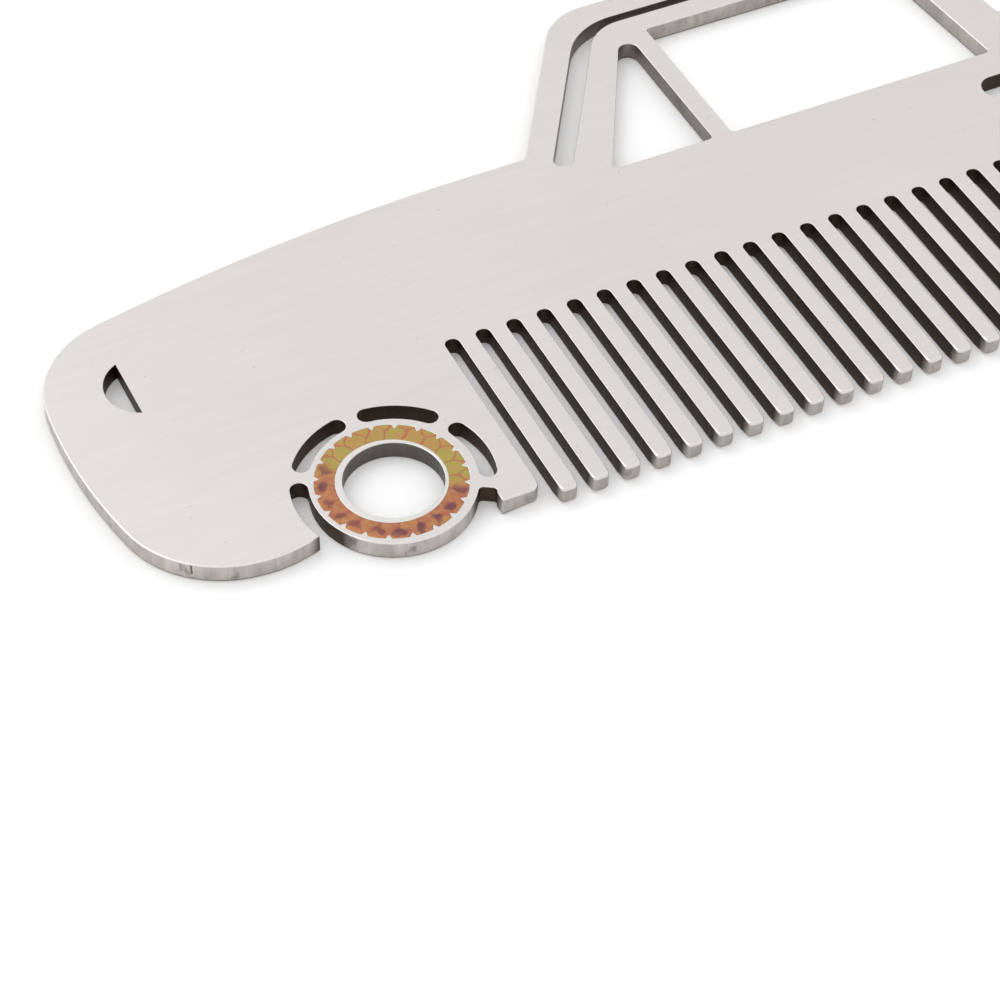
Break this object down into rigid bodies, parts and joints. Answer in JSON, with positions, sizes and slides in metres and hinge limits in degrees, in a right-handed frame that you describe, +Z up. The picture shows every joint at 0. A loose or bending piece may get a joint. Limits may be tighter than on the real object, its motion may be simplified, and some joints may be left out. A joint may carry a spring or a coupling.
{
  "type": "beard comb",
  "caption": "Flat steel beard comb in the outline of an old pick-up truck, with teeth between two wheels that carry coloured inlay rings.",
  "frame": {"origin": "middle of the comb's length and height, on the underside that it lies on", "axes": "+X along the comb from the nose of the truck to its tail, +Y from the tooth tips to the roof, +Z up out of the sheet"},
  "size_m": [0.134, 0.0486, 0.0015],
  "materials": {
    "brushed_plate": "brushed along the comb, edges softly rounded, cut faces satin",
    "heat_tinted_inlay": "heat-coloured titanium, straw to orange to violet",
    "turned_liner": "fine ground steel, satin"
  },
  "bodies": {
    "root": {"comb_plate": "brushed_plate", "front_inlay_ring": "heat_tinted_inlay", "front_liner_ring": "turned_liner", "rear_inlay_ring": "heat_tinted_inlay", "rear_liner_ring": "turned_liner"}
  },
  "joints": []
}
